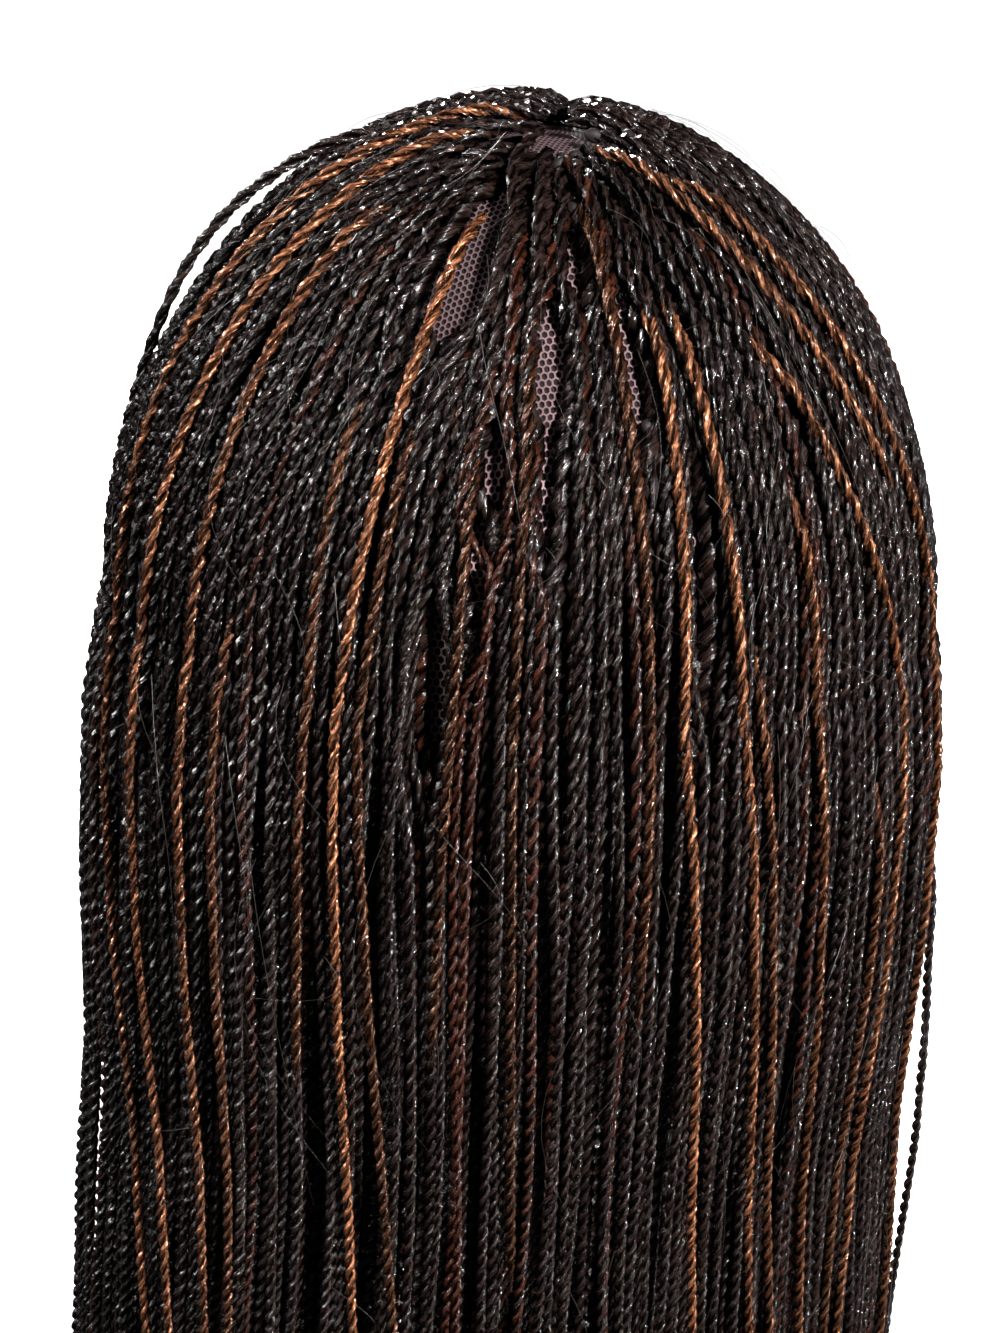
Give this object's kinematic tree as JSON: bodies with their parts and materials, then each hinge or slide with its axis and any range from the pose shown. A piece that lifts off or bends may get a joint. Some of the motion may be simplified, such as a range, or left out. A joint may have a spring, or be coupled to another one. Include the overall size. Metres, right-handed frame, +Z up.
{
  "type": "braid wig",
  "caption": "Braid wig: two-strand braids hooked into an open net cap fan from a crown whorl and a parting and hang straight round the head, black with copper highlights.",
  "frame": {"origin": "inside of the cap's crown, where the top of a head bears", "axes": "+Z up through the crown, +Y out of the back of the head, -Y the face"},
  "size_m": [0.2071, 0.2011, 0.3301],
  "materials": {
    "black_braid": "glossy black synthetic fibre twisted in two strands",
    "copper_braid": "glossy copper synthetic fibre twisted in two strands",
    "net": "matt mauve-brown hexagonal net"
  },
  "bodies": {
    "root": {"net_cap": "net", "braid_lock_01": "black_braid", "braid_lock_02": "black_braid", "braid_lock_03": "black_braid", "braid_lock_04": "black_braid", "braid_lock_05": "black_braid", "braid_lock_06": "black_braid", "braid_lock_07": "black_braid", "braid_lock_08": "black_braid", "braid_lock_09": "black_braid", "braid_lock_10": "black_braid", "braid_lock_11": "black_braid", "braid_lock_12": "black_braid", "braid_lock_13": "black_braid", "braid_lock_14": "black_braid", "braid_lock_15": "black_braid", "braid_lock_16": "black_braid", "braid_lock_17": "black_braid", "braid_lock_18": "black_braid", "braid_lock_19": "black_braid", "braid_lock_20": "black_braid", "braid_lock_21": "black_braid", "braid_lock_22": "black_braid", "braid_lock_23": "black_braid", "braid_lock_24": "black_braid", "loose_braid_upper": "black_braid", "loose_braid_lower": "black_braid", "copper_braid_01": "copper_braid", "copper_braid_02": "copper_braid", "copper_braid_03": "copper_braid", "copper_braid_04": "copper_braid", "copper_braid_05": "copper_braid", "copper_braid_06": "copper_braid", "copper_braid_07": "copper_braid", "copper_braid_08": "copper_braid", "copper_braid_09": "copper_braid", "copper_braid_10": "copper_braid", "copper_braid_11": "copper_braid", "copper_braid_12": "copper_braid", "copper_braid_13": "copper_braid", "copper_braid_14": "copper_braid", "copper_braid_15": "copper_braid", "copper_braid_16": "copper_braid", "copper_braid_17": "copper_braid", "copper_braid_18": "copper_braid"}
  },
  "joints": []
}
